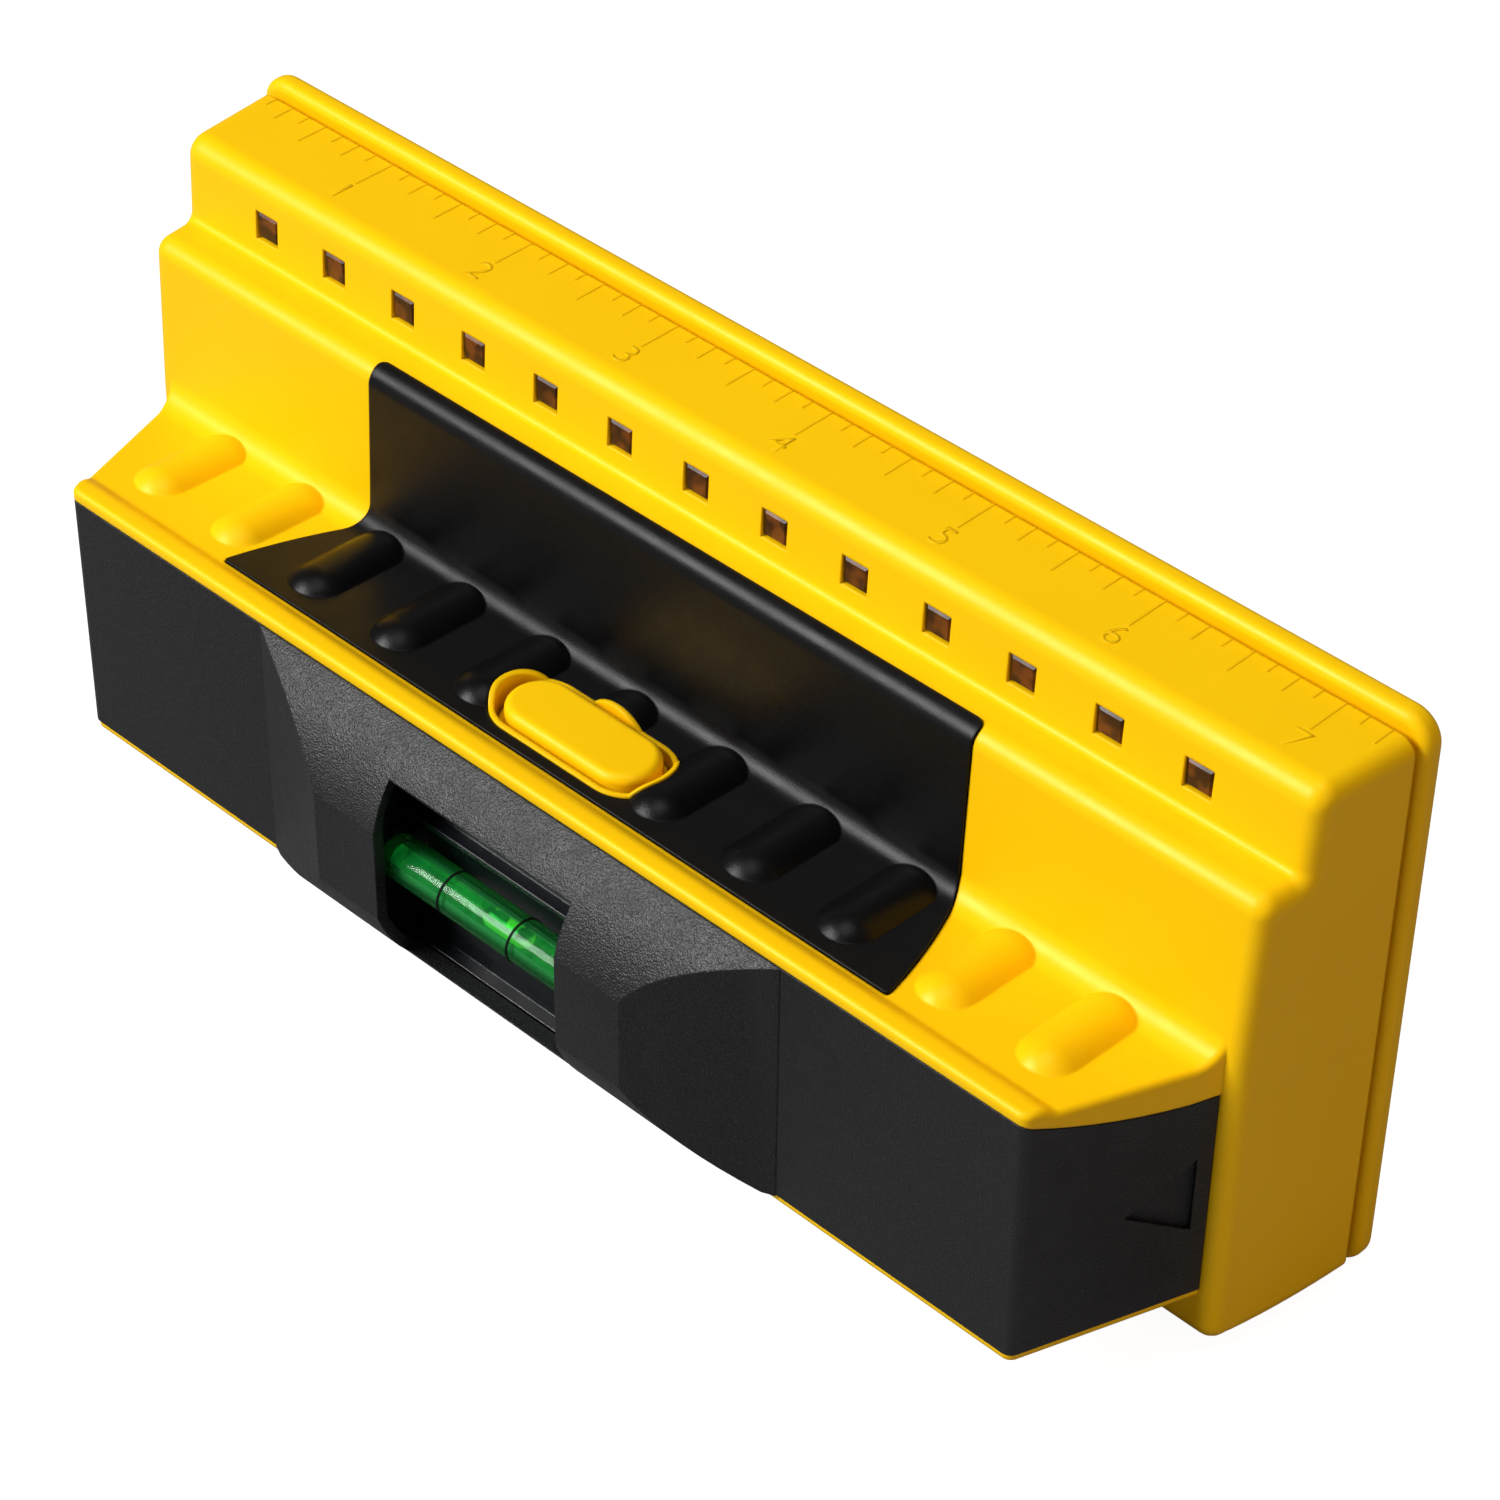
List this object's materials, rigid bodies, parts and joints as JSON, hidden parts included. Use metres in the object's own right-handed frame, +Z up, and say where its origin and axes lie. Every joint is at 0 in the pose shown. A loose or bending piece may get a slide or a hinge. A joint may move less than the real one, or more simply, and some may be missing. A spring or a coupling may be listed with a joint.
{
  "type": "stud finder",
  "caption": "Hand-held wall scanner with a flat sensor plate, a ruled top edge, a row of indicator windows, a power button and a level vial in the battery cover.",
  "frame": {"origin": "centre of the sensor plate's flat wall face", "axes": "+X along the ruler to the user's right, +Y out of the sensor plate into the wall, +Z up towards the ruler edge"},
  "size_m": [0.1892, 0.0577, 0.083],
  "materials": {
    "yellow_plastic": "satin",
    "black_plastic": "satin",
    "black_grain": "satin",
    "amber_lens": "gloss",
    "led_epoxy": "gloss",
    "board_laminate": "satin",
    "copper_pads": "satin",
    "chip_epoxy": "matte",
    "capacitor_can": "satin",
    "screw_steel": "satin",
    "cell_steel": "satin",
    "cell_jacket": "gloss",
    "spring_steel": "gloss",
    "red_insulation": "satin",
    "black_insulation": "satin",
    "switch_body": "matte",
    "vial_acrylic": "gloss",
    "vial_spirit": "gloss",
    "bubble_air": "gloss",
    "ring_ink": "matte"
  },
  "bodies": {
    "housing": {"front_housing": "yellow_plastic", "sensor_plate": "yellow_plastic", "grip_panel": "black_plastic", "lens_strip": "amber_lens", "indicator_leds": "led_epoxy", "circuit_board": "board_laminate", "sensor_electrodes": "copper_pads", "microcontroller": "chip_epoxy", "signal_chips": "chip_epoxy", "capacitors": "capacitor_can", "board_screws": "screw_steel", "case_screws": "screw_steel", "battery_cell_left": "cell_steel", "battery_cell_right": "cell_steel", "battery_sleeve_left": "cell_jacket", "battery_sleeve_right": "cell_jacket", "contact_spring": "spring_steel", "contact_plate": "spring_steel", "lead_red": "red_insulation", "lead_black": "black_insulation", "switch_housing": "switch_body", "switch_board": "board_laminate", "switch_screws": "screw_steel", "switch_leads": "red_insulation"},
    "button": {"power_button": "yellow_plastic"},
    "plunger": {"switch_plunger": "switch_body"},
    "cover": {"battery_cover": "black_grain", "vial_cradle": "black_plastic", "vial_tube": "vial_acrylic", "vial_liquid": "vial_spirit", "vial_rings": "ring_ink", "vial_plug": "vial_acrylic"},
    "bubble": {"vial_bubble": "bubble_air"}
  },
  "joints": [
    {"name": "button_press", "type": "slide", "parent": "housing", "child": "button", "axis": [0, 0, -1], "range_m": [0, 0.001], "stiffness_N_per_m": 600},
    {"name": "plunger_press", "type": "slide", "parent": "housing", "child": "plunger", "axis": [0, 0, -1], "range_m": [0, 0.001]},
    {"name": "cover_release", "type": "slide", "parent": "housing", "child": "cover", "axis": [0, -1, 0], "range_m": [0, 0.045]},
    {"name": "bubble_slide", "type": "slide", "parent": "cover", "child": "bubble", "axis": [1, 0, 0], "range_m": [-0.01, 0.006]}
  ],
  "couplings": [
    {"joint": "plunger_press", "follows": "button_press", "ratio": 1}
  ]
}
